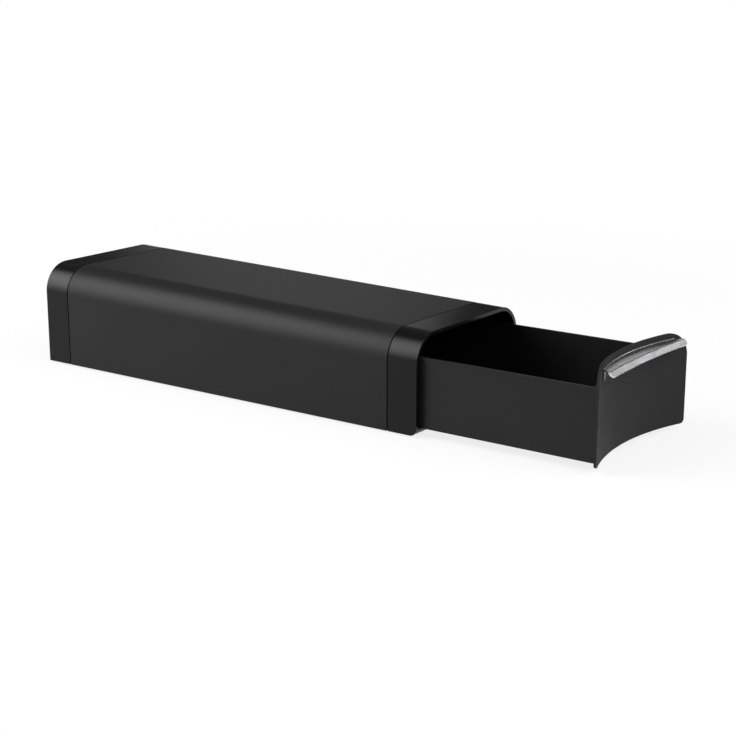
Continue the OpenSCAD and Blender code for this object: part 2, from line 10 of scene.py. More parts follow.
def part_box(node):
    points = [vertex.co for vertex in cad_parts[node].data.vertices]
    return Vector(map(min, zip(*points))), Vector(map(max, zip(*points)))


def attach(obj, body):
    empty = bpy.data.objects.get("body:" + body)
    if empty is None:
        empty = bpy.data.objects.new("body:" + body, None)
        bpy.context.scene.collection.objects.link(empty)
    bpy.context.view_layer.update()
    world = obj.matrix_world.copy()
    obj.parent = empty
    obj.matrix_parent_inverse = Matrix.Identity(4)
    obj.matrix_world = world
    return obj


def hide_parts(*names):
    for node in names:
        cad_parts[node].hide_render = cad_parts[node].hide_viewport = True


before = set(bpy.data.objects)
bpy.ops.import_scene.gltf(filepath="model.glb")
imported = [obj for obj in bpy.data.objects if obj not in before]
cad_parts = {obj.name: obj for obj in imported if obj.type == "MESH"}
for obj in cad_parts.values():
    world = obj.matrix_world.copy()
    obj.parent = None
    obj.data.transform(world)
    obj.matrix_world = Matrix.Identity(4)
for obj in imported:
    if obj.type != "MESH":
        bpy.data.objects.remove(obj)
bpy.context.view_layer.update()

scene = bpy.context.scene
scene.view_settings.view_transform = "Standard"


# ---------------------------------------------------------------- viewpoint
# A long lens stands in front and to the left of the case, a little above it,
# so that the long side, the sloping top and the concave front all show.
view_azimuth = math.radians(-54.094)
view_elevation = math.radians(14.809)
view_distance = 1.185692
view_offset = (0.06997, 0.006394)
case_middle = Vector((0, 0.067723, 0.0012))
toward_camera = Vector((
    math.sin(view_azimuth) * math.cos(view_elevation),
    -math.cos(view_azimuth) * math.cos(view_elevation),
    math.sin(view_elevation),
))
camera_right = Vector((math.cos(view_azimuth), math.sin(view_azimuth), 0))
camera_up = toward_camera.cross(camera_right)
camera_data = bpy.data.cameras.new("camera")
camera_data.lens = 78.453
camera_data.sensor_width = 36
camera_data.clip_start = 0.05
camera_data.clip_end = 60
camera = bpy.data.objects.new("camera", camera_data)
scene.collection.objects.link(camera)
camera.matrix_world = Matrix.Translation(
    case_middle
    + toward_camera * view_distance
    + camera_right * view_offset[0]
    + camera_up * view_offset[1]
) @ Matrix((camera_right, camera_up, toward_camera)).transposed().to_4x4()
scene.camera = camera


# ---------------------------------------------------------------- floor and light
# A wide white floor keeps the object's soft shadow. The dim room has pale cards
# upright on one side and a white strip at the horizon, both for reflections. A
# faded key lamp stands behind the case, and three more lamps fill in.
class Measure:
    """A number in a node tree that plain arithmetic works on."""

    def __init__(self, socket):
        self.socket = socket

    def using(self, operation, *others):
        node = self.socket.id_data.nodes.new("ShaderNodeMath")
        node.operation = operation
        for slot, value in enumerate((self, *others)):
            feed(node.inputs[slot], value)
        return Measure(node.outputs[0])

    def __add__(self, other):
        return self.using("ADD", other)

    def __sub__(self, other):
        return self.using("SUBTRACT", other)

    def __mul__(self, other):
        return self.using("MULTIPLY", other)

    def __truediv__(self, other):
        return self.using("DIVIDE", other)

    def __neg__(self):
        return self.using("MULTIPLY", -1.0)


def feed(socket, value):
    """Links a socket from a measure or another socket, or sets it to a plain value."""
    if isinstance(value, Measure):
        value = value.socket
    if isinstance(value, bpy.types.NodeSocket):
        socket.id_data.links.new(value, socket)
    else:
        socket.default_value = value


def add_node(tree, kind, sockets=None):
    """A new node of that kind, with its sockets fed."""
    node = tree.nodes.new(kind)
    for slot, value in (sockets or {}).items():
        feed(node.inputs[slot], value)
    return node


def between(field, low, high, start=0.3, stop=0.7, soft=False):
    """The field stretched so that start to stop becomes low to high, with soft ends or not."""
    ramp = add_node(field.socket.id_data, "ShaderNodeMapRange", {
        "Value": field,
        "From Min": start,
        "From Max": stop,
        "To Min": low,
        "To Max": high,
    })
    if soft:
        ramp.interpolation_type = "SMOOTHSTEP"
    return Measure(ramp.outputs[0])


floor_reach = 14
floor_mesh = bpy.data.meshes.new("floor")
floor_mesh.from_pydata(
    [(x * floor_reach, y * floor_reach, 0) for x, y in ((-1, -1), (1, -1), (1, 1), (-1, 1))],
    [], [(0, 1, 2, 3)],
)
floor = bpy.data.objects.new("floor", floor_mesh)
scene.collection.objects.link(floor)

floor_paint = bpy.data.materials.new("floor_white")
floor_paint.use_nodes = True
tree = floor_paint.node_tree
tree.nodes.clear()
matte_white = add_node(tree, "ShaderNodeBsdfDiffuse", {"Color": (0.86, 0.86, 0.86, 1)})
plain_white = add_node(tree, "ShaderNodeEmission", {"Strength": 1.0})
place = add_node(tree, "ShaderNodeTexCoord")
from_case = add_node(tree, "ShaderNodeVectorMath", {0: place.outputs["Object"]})
from_case.operation = "LENGTH"
plain_share = between(Measure(from_case.outputs["Value"]), 0.82, 1.0, 0.25, 0.9, soft=True)
rays = add_node(tree, "ShaderNodeLightPath")
seen = Measure(rays.outputs["Is Camera Ray"])
for ray in ("Is Glossy Ray", "Is Transmission Ray"):
    seen = seen.using("MAXIMUM", rays.outputs[ray])
floor_mix = add_node(tree, "ShaderNodeMixShader", {
    0: seen * plain_share,
    1: matte_white.outputs[0],
    2: plain_white.outputs[0],
})
add_node(tree, "ShaderNodeOutputMaterial", {0: floor_mix.outputs[0]})
floor_mesh.materials.append(floor_paint)

room = bpy.data.worlds.new("room")
scene.world = room
room.use_nodes = True
tree = room.node_tree
place = add_node(tree, "ShaderNodeTexCoord")
split = add_node(tree, "ShaderNodeSeparateXYZ", {0: place.outputs["Generated"]})
east, north, rise = (Measure(split.outputs[axis]) for axis in range(3))
heading = east.using("ARCTAN2", north)

# upright cards: the degree of heading where each edge stands, and how bright it is there
cards_start, cards_stop = 40, 70
cards = add_node(tree, "ShaderNodeValToRGB", {
    0: between(heading, 0, 1, math.radians(cards_start), math.radians(cards_stop)),
})
card_edges = cards.color_ramp.elements
for degree, strength in (
    (45.5, 0.03), (48, 0.42), (53, 0.35), (56.7, 0.42), (57.3, 0.01),
    (61.4, 0.01), (62.6, 0.64), (66, 0.64), (69, 0.15),
):
    edge = card_edges.new((degree - cards_start) / (cards_stop - cards_start))
    edge.color = (strength, strength, strength, 1)
card_edges.remove(card_edges[0])
card_edges.remove(card_edges[-1])

above_cards = between(heading, 0.14, 0.30, math.radians(101), math.radians(106), soft=True)
dim_room = between(rise, cards.outputs[0], above_cards, 0.30, 0.52, soft=True)
white_strip = between(rise, 1.0, 0.0, 0.03, 0.07, soft=True)
rays = add_node(tree, "ShaderNodeLightPath")
mirrored = Measure(rays.outputs["Is Glossy Ray"]).using(
    "MAXIMUM", rays.outputs["Is Transmission Ray"]
)
white = Measure(rays.outputs["Is Camera Ray"]).using("MAXIMUM", mirrored * white_strip)
background = tree.nodes["Background"]
feed(background.inputs["Color"], (1, 1, 1, 1))
feed(background.inputs["Strength"], white.using("MAXIMUM", dim_room))


def softbox(name, size, strength, place, target, faded=False):
    """A rectangular studio lamp of that size in metres, aimed at target."""
    lamp_data = bpy.data.lights.new(name, "AREA")
    lamp_data.shape = "RECTANGLE"
    lamp_data.size, lamp_data.size_y = size
    lamp_data.energy = strength * math.pi * size[0] * size[1]
    lamp = bpy.data.objects.new(name, lamp_data)
    scene.collection.objects.link(lamp)
    lamp.location = place
    lamp.rotation_euler = (Vector(place) - Vector(target)).to_track_quat("Z", "Y").to_euler()
    if faded:
        lamp_data.use_nodes = True
        tree = lamp_data.node_tree
        cloth = add_node(tree, "ShaderNodeNewGeometry")
        from_middle = add_node(tree, "ShaderNodeVectorMath", {
            0: cloth.outputs["Parametric"],
            1: (0.5, 0.5, 0),
        })
        from_middle.operation = "DISTANCE"
        glow = between(Measure(from_middle.outputs["Value"]), 1.0, 0.0, 0.08, 0.5, soft=True)
        feed(tree.nodes["Emission"].inputs["Strength"], glow)


softbox("key_lamp", (2.2, 2.7), 6.3, (-0.93, 1.055, 0.93), (0, 0, 0), faded=True)
softbox("top_lamp", (1.8, 1.8), 0.75, (0.1, -0.35, 1.65), (0, 0, 0))
softbox("front_lamp", (2.4, 1.9), 2.3, (0.1, -1.75, 1.1), (0, 0, 0))
softbox("side_lamp", (0.165, 1.0), 1.6, (1.651, -0.643, 0.872), (0, -0.238, 0.061))


# ---------------------------------------------------------------- sleeve
# One sheet of steel, bent over two large radii and folded in below along both
# sides. It has a fine matte black powder coat with a faint orange peel.
def from_solid(node, name):
    """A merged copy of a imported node, with its flat faces in one piece."""
    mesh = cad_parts[node].data.copy()
    mesh.materials.clear()
    shape = bmesh.new()
    shape.from_mesh(mesh)
    bmesh.ops.remove_doubles(shape, verts=shape.verts, dist=1e-6)
    bmesh.ops.dissolve_limit(
        shape, angle_limit=math.radians(0.05), verts=shape.verts, edges=shape.edges
    )
    shape.to_mesh(mesh)
    shape.free()
    for face in mesh.polygons:
        face.use_smooth = True
    piece = bpy.data.objects.new(name, mesh)
    scene.collection.objects.link(piece)
    return piece


def as_made(piece):
    """The plain mesh that the piece's modifiers make of it."""
    bpy.context.view_layer.update()
    made = piece.evaluated_get(bpy.context.evaluated_depsgraph_get())
    return bpy.data.meshes.new_from_object(made)


def ease_edges(piece, width, steps=3, sharp=35):
    """Rounds each edge that turns by more than sharp degrees and keeps wide faces even."""
    ease = piece.modifiers.new("eased_edges", "BEVEL")
    ease.width = width
    ease.segments = steps
    ease.limit_method = "ANGLE"
    ease.angle_limit = math.radians(sharp)
    ease.miter_outer = "MITER_ARC"
    even = piece.modifiers.new("even_shading", "WEIGHTED_NORMAL")
    even.weight = 100
    eased = as_made(piece)
    piece.modifiers.clear()
    piece.data = eased


def place_set(piece, body, node):
    """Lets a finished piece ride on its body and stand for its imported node."""
    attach(piece, body)
    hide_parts(node)


def stand_in(piece, finish, body, node):
    """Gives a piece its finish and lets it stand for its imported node."""
    piece.data.materials.append(finish)
    place_set(piece, body, node)


def begin_finish(name, tone, rough, level=0.5):
    """A material with one shader, its plain values set on the shader itself."""
    finish = bpy.data.materials.new(name)
    finish.use_nodes = True
    shader = finish.node_tree.nodes["Principled BSDF"]
    feed(shader.inputs["Base Color"], (*tone, 1))
    feed(shader.inputs["Roughness"], rough)
    feed(shader.inputs["Specular IOR Level"], level)
    return finish, finish.node_tree, shader


def speckle(tree, size, detail=2, stretch=(1, 1, 1), cells=False):
    """A random field, from 0 to 1, whose grains are size metres across."""
    place = add_node(tree, "ShaderNodeTexCoord")
    draw = add_node(tree, "ShaderNodeMapping", {
        "Vector": place.outputs["Object"],
        "Scale": stretch,
    })
    field = add_node(tree, "ShaderNodeTexVoronoi" if cells else "ShaderNodeTexNoise", {
        "Vector": draw.outputs[0],
        "Scale": 1 / size,
        "Detail": 0 if cells else detail,
    })
    return Measure(field.outputs["Distance" if cells else "Fac"])


def blend_tones(tree, field, first, second):
    """A colour that goes from first to second with the field."""
    mix = tree.nodes.new("ShaderNodeMix")
    mix.data_type = "RGBA"
    feed(mix.inputs["Factor"], field)
    for slot, tone in ((6, first), (7, second)):
        feed(mix.inputs[slot], (*tone, 1) if isinstance(tone, tuple) else tone)
    return mix.outputs[2]


def raise_grain(tree, shader, layers):
    """Lays bumps of the given heights, in metres, over each other."""
    under = None
    for field, height in layers:
        bump = add_node(tree, "ShaderNodeBump", {
            "Strength": 1.0,
            "Distance": height,
            "Height": field,
        })
        if under:
            feed(bump.inputs["Normal"], under)
        under = bump.outputs[0]
    feed(shader.inputs["Normal"], under)


def rubbed_edges(tree, width, patch):
    """A field that is high where edges within width are rubbed, in patches."""
    edge = add_node(tree, "ShaderNodeBevel", {"Radius": width})
    edge.samples = 6
    surface = add_node(tree, "ShaderNodeNewGeometry")
    turn = add_node(tree, "ShaderNodeVectorMath", {
        0: edge.outputs[0],
        1: surface.outputs["Normal"],
    })
    turn.operation = "DOT_PRODUCT"
    near = between(Measure(turn.outputs["Value"]), 1.0, 0.0, 0.80, 0.985)
    return near * between(speckle(tree, patch, 4), 0.15, 1.0, 0.42, 0.62)


def powder_coat(name):
    """Matte black powder coat: fine peel, soft patches, edges rubbed a little smoother."""
    finish, tree, shader = begin_finish(name, (0.0134, 0.0134, 0.0138), 0.39, level=0.15)
    patches = speckle(tree, 0.035, 3)
    rubbed = rubbed_edges(tree, 0.0009, 0.006)
    tone = blend_tones(tree, patches, (0.0118, 0.0118, 0.0122), (0.0150, 0.0150, 0.0154))
    feed(shader.inputs["Base Color"], blend_tones(tree, rubbed, tone, (0.022, 0.022, 0.0225)))
    rough = between(speckle(tree, 0.0016, 3), 0.35, 0.42)
    feed(shader.inputs["Roughness"], rubbed.using("MULTIPLY_ADD", -0.12, rough))
    raise_grain(tree, shader, [
        (speckle(tree, 0.0021), 0.000018),
        (speckle(tree, 0.0005), 0.000007),
    ])
    return finish


sleeve = from_solid("sleeve", "sleeve_shell")
ease_edges(sleeve, 0.0003)
stand_in(sleeve, powder_coat("sleeve_powder_coat"), "case", "sleeve")


# ---------------------------------------------------------------- end bands
# Two moulded rings in polished black plastic that plug into the sleeve's ends
# with a narrow shadow groove between. The front one has rounded lower corners.
def polished_moulding(name):
    """Satin-gloss black plastic: faint flow waves, hairline scratches, dust in patches."""
    plain, worn = (0.0035, 0.0035, 0.0037), (0.007, 0.007, 0.0073)
    finish, tree, shader = begin_finish(name, plain, 0.23, level=0.185)
    hairs = speckle(tree, 0.0005, 5, (1, 0.04, 1))
    handled = speckle(tree, 0.022, 4)
    rubbed = rubbed_edges(tree, 0.0008, 0.004)
    feed(shader.inputs["Base Color"], blend_tones(tree, rubbed, plain, worn))
    dull = between(handled, 0.175, 0.225) + between(hairs, 0.0, 0.05, 0.5, 0.75)
    feed(shader.inputs["Roughness"], dull)
    raise_grain(tree, shader, [
        (speckle(tree, 0.011, 1), 0.000010),
        (hairs, 0.0000012),
    ])
    return finish


band_polish = polished_moulding("band_polish")
for end in ("front", "rear"):
    band = from_solid(end + "_band", end + "_band_ring")
    ease_edges(band, 0.0006)
    stand_in(band, band_polish, "case", end + "_band")


# ---------------------------------------------------------------- rear panel
# A flat panel of textured black plastic that closes the back. It stands in a
# slot in the rear band and is held by two screws near its top.
def textured_moulding(name, tone, rough, cell, depth):
    """Black plastic from a spark-textured mould: small soft cells, scuffed high spots."""
    finish, tree, shader = begin_finish(name, tone, rough, level=0.42)
    cells = speckle(tree, cell, cells=True)
    patches = speckle(tree, 0.03, 3)
    scuffed = tuple(1.9 * part for part in tone)
    lift = between(cells, 1.0, 0.0, 0.05, 0.5) * between(patches, 0.1, 0.6, 0.45, 0.7)
    feed(shader.inputs["Base Color"], blend_tones(tree, lift, tone, scuffed))
    feed(shader.inputs["Roughness"], between(patches, rough - 0.05, rough + 0.05))
    raise_grain(tree, shader, [(cells, -depth), (speckle(tree, 0.004), depth)])
    return finish


rear_panel = from_solid("rear_panel", "rear_panel_plate")
ease_edges(rear_panel, 0.0003)
rear_panel_texture = textured_moulding(
    "rear_panel_texture", (0.0075, 0.0075, 0.0078), 0.58, cell=0.0008, depth=0.00003
)
stand_in(rear_panel, rear_panel_texture, "case", "rear_panel")


# ---------------------------------------------------------------- rear screws
# Two pan-head screws with a cross recess, in steel with a black zinc finish,
# that hold the rear panel to bosses in the rear band.
def begin_tree(name, sizes):
    """A tree with a geometry input, one named input for each size, and a finish."""
    tree = bpy.data.node_groups.new(name, "GeometryNodeTree")
    add = tree.interface.new_socket
    add("Shape", in_out="OUTPUT", socket_type="NodeSocketGeometry")
    add("Seats", in_out="INPUT", socket_type="NodeSocketGeometry")
    for size, value in sizes.items():
        add(size, in_out="INPUT", socket_type="NodeSocketFloat").default_value = value
    add("Finish", in_out="INPUT", socket_type="NodeSocketMaterial")
    source = tree.nodes.new("NodeGroupInput")
    return tree, source, {size: Measure(source.outputs[size]) for size in sizes}


def end_tree(tree, source, shape):
    """Realizes the copies, gives them their finish and closes the tree."""
    real = add_node(tree, "GeometryNodeRealizeInstances", {0: shape})
    paint = add_node(tree, "GeometryNodeSetMaterial", {
        "Geometry": real.outputs[0],
        "Material": source.outputs["Finish"],
    })
    add_node(tree, "NodeGroupOutput", {0: paint.outputs[0]})


def pick_by_index(tree, kind, index, values):
    """The value that belongs to each index."""
    pick = tree.nodes.new("GeometryNodeIndexSwitch")
    pick.data_type = kind
    while len(pick.index_switch_items) < len(values):
        pick.index_switch_items.new()
    feed(pick.inputs[0], index)
    for slot, value in enumerate(values):
        feed(pick.inputs[1 + slot], value)
    return pick.outputs[0]


def round_corners(tree, curve, radius):
    """The curve with its corners rounded to that radius."""
    ease = tree.nodes.new("GeometryNodeFilletCurve")
    ease.mode = "POLY"
    feed(ease.inputs[0], curve)
    feed(ease.inputs["Count"], 4)
    feed(ease.inputs["Radius"], radius)
    return ease.outputs[0]


def turned(tree, outline, rounding):
    """Turns an outline of (radius, height) measures around the upright axis."""
    axis_radius, weld_distance = 1e-6, 5e-6
    corners = []
    for radius, height in outline:
        corner = add_node(tree, "ShaderNodeCombineXYZ", {0: radius, 1: -height})
        corners.append(corner.outputs[0])
    row = add_node(tree, "GeometryNodeMeshLine", {"Count": len(outline)})
    which = add_node(tree, "GeometryNodeInputIndex")
    place = add_node(tree, "GeometryNodeSetPosition", {
        0: row.outputs[0],
        "Position": pick_by_index(tree, "VECTOR", which.outputs[0], corners),
    })
    line = add_node(tree, "GeometryNodeMeshToCurve", {0: place.outputs[0]})
    ring = add_node(tree, "GeometryNodeCurvePrimitiveCircle", {
        "Resolution": 40,
        "Radius": axis_radius,
    })
    turn = add_node(tree, "GeometryNodeCurveToMesh", {
        0: ring.outputs[0],
        1: round_corners(tree, line.outputs[0], rounding),
    })
    weld = add_node(tree, "GeometryNodeMergeByDistance", {
        0: turn.outputs[0],
        "Distance": weld_distance,
    })
    return weld.outputs[0]


def cross_recess(tree, shape, top, size):
    """Cuts a cross-shaped driver recess into the top of the shape."""
    length, width, depth = (size["Recess " + way] for way in ("Length", "Width", "Depth"))
    cut = tree.nodes.new("GeometryNodeMeshBoolean")
    cut.operation = "DIFFERENCE"
    cut.solver = "EXACT"
    feed(cut.inputs[0], shape)
    for first, second in ((length, width), (width, length)):
        extent = add_node(tree, "ShaderNodeCombineXYZ", {0: first, 1: second, 2: depth * 2})
        block = add_node(tree, "GeometryNodeMeshCube", {"Size": extent.outputs[0]})
        lift = add_node(tree, "ShaderNodeCombineXYZ", {2: top})
        move = add_node(tree, "GeometryNodeTransform", {
            "Geometry": block.outputs[0],
            "Translation": lift.outputs[0],
        })
        feed(cut.inputs[1], move.outputs[0])
    return cut.outputs[0]


def stand_on_seats(tree, source, shape):
    """Stands a copy of the shape on each seat, turned to the way that the seat faces."""
    facing = tree.nodes.new("GeometryNodeInputNamedAttribute")
    facing.data_type = "FLOAT_VECTOR"
    feed(facing.inputs["Name"], "facing")
    turn = add_node(tree, "FunctionNodeAlignRotationToVector", {
        "Vector": facing.outputs["Attribute"],
    })
    turn.axis = "Z"
    copies = add_node(tree, "GeometryNodeInstanceOnPoints", {
        "Points": source.outputs["Seats"],
        "Instance": shape,
        "Rotation": turn.outputs[0],
    })
    return copies.outputs[0]


def both_sides(x, places, facing):
    """Seats at -x and then at x, for each (y, z) place, that all face one way."""
    return [((side * x, *place), facing) for side in (-1, 1) for place in places]


def make_up(name, tree, seats, finish):
    """Runs a tree on its seats, each a place and a direction, and keeps the plain mesh."""
    weld_distance, crease = 2e-6, math.radians(32)
    mesh = bpy.data.meshes.new(name)
    mesh.from_pydata([seat[0] for seat in seats], [], [])
    facing = mesh.attributes.new("facing", "FLOAT_VECTOR", "POINT")
    for slot, seat in enumerate(seats):
        facing.data[slot].vector = seat[1]
    piece = bpy.data.objects.new(name, mesh)
    scene.collection.objects.link(piece)
    maker = piece.modifiers.new("maker", "NODES")
    maker.node_group = tree
    for item in tree.interface.items_tree:
        if item.in_out == "INPUT" and item.name == "Finish":
            maker[item.identifier] = finish
    made = as_made(piece)
    piece.modifiers.remove(maker)
    shape = bmesh.new()
    shape.from_mesh(made)
    bmesh.ops.remove_doubles(shape, verts=shape.verts, dist=weld_distance)
    bmesh.ops.recalc_face_normals(shape, faces=shape.faces)
    shape.to_mesh(made)
    shape.free()
    if "facing" in made.attributes:
        made.attributes.remove(made.attributes["facing"])
    for face in made.polygons:
        face.use_smooth = True
    made.set_sharp_from_angle(angle=crease)
    piece.data = made
    return piece


def pan_head_screw(name, head_radius, head_height, length):
    """A tree for pan-head screws whose heads rest on their seats."""
    tree, source, size = begin_tree(name, {
        "Head Radius": head_radius,
        "Head Height": head_height,
        "Shank Radius": 0.0015,
        "Length": length,
        "Recess Length": 0.0030,
        "Recess Width": 0.0008,
        "Recess Depth": 0.0009,
    })
    body = turned(tree, [
        (0, size["Head Height"]),
        (size["Head Radius"] * 0.72, size["Head Height"]),
        (size["Head Radius"], size["Head Height"] * 0.55),
        (size["Head Radius"], 0),
        (size["Shank Radius"], 0),
        (size["Shank Radius"], -size["Length"]),
        (0, -size["Length"]),
    ], 0.00025)
    driven = cross_recess(tree, body, size["Head Height"], size)
    end_tree(tree, source, stand_on_seats(tree, source, driven))
    return tree


def black_zinc(name):
    """Black zinc on steel: dark satin metal, brighter where the driver and edges rub."""
    finish, tree, shader = begin_finish(name, (0.05, 0.05, 0.053), 0.4)
    feed(shader.inputs["Metallic"], 1)
    rubbed = rubbed_edges(tree, 0.0004, 0.0009)
    tone = blend_tones(tree, speckle(tree, 0.0012, 3), (0.035, 0.035, 0.038), (0.075, 0.076, 0.08))
    feed(shader.inputs["Base Color"], blend_tones(tree, rubbed, tone, (0.30, 0.30, 0.31)))
    feed(shader.inputs["Roughness"], between(speckle(tree, 0.0007), 0.32, 0.5))
    raise_grain(tree, shader, [(speckle(tree, 0.0003), 0.000006)])
    return finish


screw_black = black_zinc("screw_black_zinc")
low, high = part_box("rear_screws")
screw_head, screw_rise = 0.0027, 0.0012
seats = both_sides(
    high[0] - screw_head, [(high[1] - screw_rise, (low[2] + high[2]) / 2)], (0, 1, 0)
)
tree = pan_head_screw("rear_screw", screw_head, screw_rise, length=0.0090)
rear_screws = make_up("rear_screw_pair", tree, seats, screw_black)
place_set(rear_screws, "case", "rear_screws")


# ---------------------------------------------------------------- base plate
# A flat steel plate on the sleeve's folded flanges, with the same powder coat
# as the sleeve. It carries the runners.
base_plate = from_solid("base_plate", "base_plate_sheet")
ease_edges(base_plate, 0.0002)
stand_in(base_plate, powder_coat("base_powder_coat"), "case", "base_plate")


# ---------------------------------------------------------------- base screws
# Six small countersunk screws that go up through the flanges and the base
# plate into the runners, three on each side.
low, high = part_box("base_screws")
sink_radius, sink_rise = 0.0023, 0.00001
tree, source, size = begin_tree("base_screw", {
    "Head Radius": sink_radius,
    "Sink Depth": 0.0012,
    "Shank Radius": 0.0011,
    "Length": high[2] - low[2],
    "Recess Length": 0.0024,
    "Recess Width": 0.0006,
    "Recess Depth": 0.0008,
    "Flush": sink_rise,
})
body = turned(tree, [
    (0, size["Flush"]),
    (size["Head Radius"], size["Flush"]),
    (size["Shank Radius"], -size["Sink Depth"]),
    (size["Shank Radius"], -size["Length"]),
    (0, -size["Length"]),
], 0.00008)
driven = cross_recess(tree, body, size["Flush"], size)
end_tree(tree, source, stand_on_seats(tree, source, driven))
rows = (low[1] + sink_radius, (low[1] + high[1]) / 2, high[1] - sink_radius)
seats = both_sides(high[0] - sink_radius, [(y, low[2] + sink_rise) for y in rows], (0, 0, -1))
base_screws = make_up("base_screw_set", tree, seats, screw_black)
place_set(base_screws, "case", "base_screws")


# ---------------------------------------------------------------- runners
# Two L-shaped guides moulded in dark nylon, screwed down along the base. The
# drawer slides on their feet and between their walls.
def greased_nylon(name):
    """Dark nylon with long wipe marks of grease along the way that the drawer slides."""
    finish, tree, shader = begin_finish(name, (0.028, 0.028, 0.029), 0.42)
    wiped = speckle(tree, 0.0012, 4, (1, 0.03, 1))
    tone = blend_tones(tree, wiped, (0.022, 0.022, 0.023), (0.040, 0.040, 0.041))
    feed(shader.inputs["Base Color"], tone)
    feed(shader.inputs["Roughness"], between(wiped, 0.28, 0.52))
    raise_grain(tree, shader, [(wiped, 0.000006), (speckle(tree, 0.0006), 0.000005)])
    return finish


runner_nylon = greased_nylon("runner_nylon_dark")
for side in ("left", "right"):
    runner = from_solid(side + "_runner", side + "_runner_guide")
    ease_edges(runner, 0.0004)
    stand_in(runner, runner_nylon, "case", side + "_runner")


# ---------------------------------------------------------------- drawer stop
# A folded bracket of zinc-plated steel, spot-welded under the sleeve's top,
# that the catch on the drawer's back meets at the end of the travel.
def zinc_plate(name):
    """Bright zinc plating: a faint spangle, soft cloudy gloss and rubbed edges."""
    finish, tree, shader = begin_finish(name, (0.52, 0.53, 0.54), 0.34)
    feed(shader.inputs["Metallic"], 1)
    spangle = speckle(tree, 0.0035, cells=True)
    cloud = speckle(tree, 0.006, 4)
    rubbed = rubbed_edges(tree, 0.0004, 0.002)
    tone = blend_tones(tree, spangle, (0.58, 0.59, 0.60), (0.42, 0.43, 0.45))
    feed(shader.inputs["Base Color"], blend_tones(tree, rubbed, tone, (0.72, 0.72, 0.73)))
    feed(shader.inputs["Roughness"], between(cloud, 0.24, 0.46))
    raise_grain(tree, shader, [(cloud, 0.000008), (speckle(tree, 0.0004, 3), 0.000003)])
    return finish


zinc = zinc_plate("bracket_zinc")
drawer_stop = from_solid("drawer_stop", "drawer_stop_bracket")
ease_edges(drawer_stop, 0.0003)
stand_in(drawer_stop, zinc, "case", "drawer_stop")


# ---------------------------------------------------------------- bumpers
# Two round rubber bumpers pushed through holes in the rear panel. The closed
# tub rests against their domed heads.
def moulded_rubber(name, tone):
    """Matte black rubber with a fine grain and a little pale dust in patches."""
    finish, tree, shader = begin_finish(name, tone, 0.8, level=0.35)
    dust = between(speckle(tree, 0.003, 5), 0.0, 1.0, 0.52, 0.75)
    dusty = tuple(2.4 * part for part in tone)
    feed(shader.inputs["Base Color"], blend_tones(tree, dust, tone, dusty))
    feed(shader.inputs["Roughness"], between(speckle(tree, 0.0015, 3), 0.7, 0.9))
    raise_grain(tree, shader, [(speckle(tree, 0.0004, 3), 0.000020)])
    return finish


rubber = moulded_rubber("black_rubber", (0.011, 0.011, 0.011))
low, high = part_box("bumpers")
bumper_radius, bumper_height = 0.0045, 0.0040
tree, source, size = begin_tree("bumper", {
    "Head Radius": bumper_radius,
    "Head Height": bumper_height,
    "Stem Radius": 0.00225,
    "Stem Length": high[1] - low[1] - bumper_height,
})
body = turned(tree, [
    (0, size["Head Height"]),
    (size["Head Radius"] * 0.45, size["Head Height"] * 0.97),
    (size["Head Radius"] * 0.82, size["Head Height"] * 0.80),
    (size["Head Radius"], size["Head Height"] * 0.45),
    (size["Head Radius"], 0),
    (size["Stem Radius"], 0),
    (size["Stem Radius"], -size["Stem Length"]),
    (0, -size["Stem Length"]),
], 0.0007)
end_tree(tree, source, stand_on_seats(tree, source, body))
seats = both_sides(
    high[0] - bumper_radius, [(low[1] + bumper_height, (low[2] + high[2]) / 2)], (0, -1, 0)
)
bumpers = make_up("bumper_pair", tree, seats, rubber)
place_set(bumpers, "case", "bumpers")


# ---------------------------------------------------------------- feet
# Four round rubber feet pressed into shallow pockets under the end bands, each
# with a ring-shaped tread.
low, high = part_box("feet")
foot_radius = 0.0060
tree, source, size = begin_tree("foot", {
    "Radius": foot_radius,
    "Height": high[2] - low[2],
    "Tread": 0.0004,
})
body = turned(tree, [
    (0, size["Height"] - size["Tread"]),
    (size["Radius"] * 0.45, size["Height"] - size["Tread"]),
    (size["Radius"] * 0.52, size["Height"]),
    (size["Radius"] * 0.93, size["Height"]),
    (size["Radius"], size["Height"] * 0.80),
    (size["Radius"], 0),
    (0, 0),
], 0.0002)
end_tree(tree, source, stand_on_seats(tree, source, body))
rows = (low[1] + foot_radius, high[1] - foot_radius)
seats = both_sides(high[0] - foot_radius, [(y, high[2]) for y in rows], (0, 0, -1))
feet = make_up("foot_set", tree, seats, rubber)
place_set(feet, "case", "feet")


# ---------------------------------------------------------------- drawer tub
# An open box moulded in satin black plastic, with thin walls, a bead along the
# rim of each side and a front wall that follows the curve of the panel.
def satin_moulding(name, tone, rough, level):
    """Satin black plastic: very fine mould texture, slow gloss changes, faint wipes."""
    finish, tree, shader = begin_finish(name, tone, rough, level)
    flow = speckle(tree, 0.03, 3)
    wipes = speckle(tree, 0.0009, 4, (0.06, 1, 1))
    rubbed = rubbed_edges(tree, 0.0009, 0.004)
    darker, lighter, worn = (
        tuple(share * part for part in tone) for share in (0.85, 1.15, 1.25)
    )
    base = blend_tones(tree, flow, darker, lighter)
    feed(shader.inputs["Base Color"], blend_tones(tree, rubbed, base, worn))
    dull = between(flow, rough - 0.04, rough + 0.04) + between(wipes, -0.02, 0.03)
    feed(shader.inputs["Roughness"], dull)
    raise_grain(tree, shader, [
        (speckle(tree, 0.0004, cells=True), -0.000006),
        (speckle(tree, 0.0065, 1), 0.000009),
    ])
    return finish


